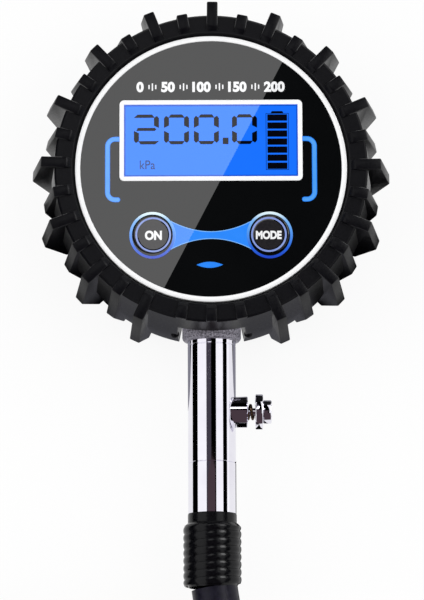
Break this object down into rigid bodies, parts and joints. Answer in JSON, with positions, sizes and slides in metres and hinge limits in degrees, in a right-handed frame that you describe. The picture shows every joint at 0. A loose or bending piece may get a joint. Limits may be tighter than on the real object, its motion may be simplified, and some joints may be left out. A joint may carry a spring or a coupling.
{
  "type": "digital tyre pressure gauge",
  "caption": "Round digital tyre pressure gauge in a lugged rubber boot, with display, two keys, chrome stem, side bleed button, ribbed sleeve, hose and tyre chuck.",
  "frame": {"origin": "on the dial's axis at the outer face of the battery door, which is the plane the gauge rests on", "axes": "+Z is the way the dial faces, -Y is the way the stem points, +X is the side with the bleed button"},
  "size_m": [0.1634, 0.2852, 0.037],
  "materials": {
    "boot_rubber": "moulded matte rubber with a faint sheen",
    "case_plastic": "fine-textured moulded plastic",
    "steel": "zinc plated",
    "white_plastic": "glossy",
    "face_acrylic": "high gloss",
    "display_blue": "backlit display glass",
    "backlight_plastic": "satin",
    "board": "solder mask",
    "board_chip": "moulded",
    "key_plastic": "satin",
    "cast_metal": "rough as cast",
    "chrome": "polished",
    "brass": "turned",
    "spring_bronze": "drawn wire",
    "seal_rubber": "smooth",
    "sleeve_rubber": "moulded satin rubber",
    "hose_rubber": "smooth extruded rubber"
  },
  "bodies": {
    "gauge": {"rubber_boot": "boot_rubber", "front_case": "case_plastic", "rear_case": "case_plastic", "case_screws": "steel", "battery_door": "case_plastic", "door_screw": "steel", "face_ring": "white_plastic", "face_panel": "face_acrylic", "display_frame": "white_plastic", "display_glass": "display_blue", "display_backlight": "backlight_plastic", "display_connector": "seal_rubber", "circuit_board": "board", "board_screws": "steel", "board_parts": "board_chip", "key_switches": "board_chip", "battery_cells": "steel", "battery_springs": "steel", "battery_contacts": "steel", "pressure_sensor": "steel", "sensor_seal": "seal_rubber", "inlet_port": "cast_metal", "port_seal": "seal_rubber", "stem_upper": "chrome", "stem_seal": "seal_rubber", "stem_lower": "chrome", "bleed_seat": "brass", "bleed_spring": "spring_bronze", "hose_sleeve": "sleeve_rubber", "hose": "hose_rubber", "chuck_sleeve": "sleeve_rubber", "chuck_body": "brass", "chuck_cap": "brass", "chuck_seal": "seal_rubber", "chuck_pin": "brass"},
    "power_key": {"power_button": "key_plastic", "power_switch_pin": "board_chip"},
    "mode_key": {"mode_button": "key_plastic", "mode_switch_pin": "board_chip"},
    "bleed_plunger": {"bleed_button": "chrome", "bleed_seal": "seal_rubber"}
  },
  "joints": [
    {"name": "power_press", "type": "slide", "parent": "gauge", "child": "power_key", "axis": [0, 0, -1], "range_m": [0, 0.0005], "stiffness_N_per_m": 1500, "springref_m": -0.0003},
    {"name": "mode_press", "type": "slide", "parent": "gauge", "child": "mode_key", "axis": [0, 0, -1], "range_m": [0, 0.0005], "stiffness_N_per_m": 1500, "springref_m": -0.0003},
    {"name": "bleed_press", "type": "slide", "parent": "gauge", "child": "bleed_plunger", "axis": [-1, 0, 0], "range_m": [0, 0.0015], "stiffness_N_per_m": 900, "springref_m": -0.0015, "deforming": ["bleed_spring"]}
  ]
}
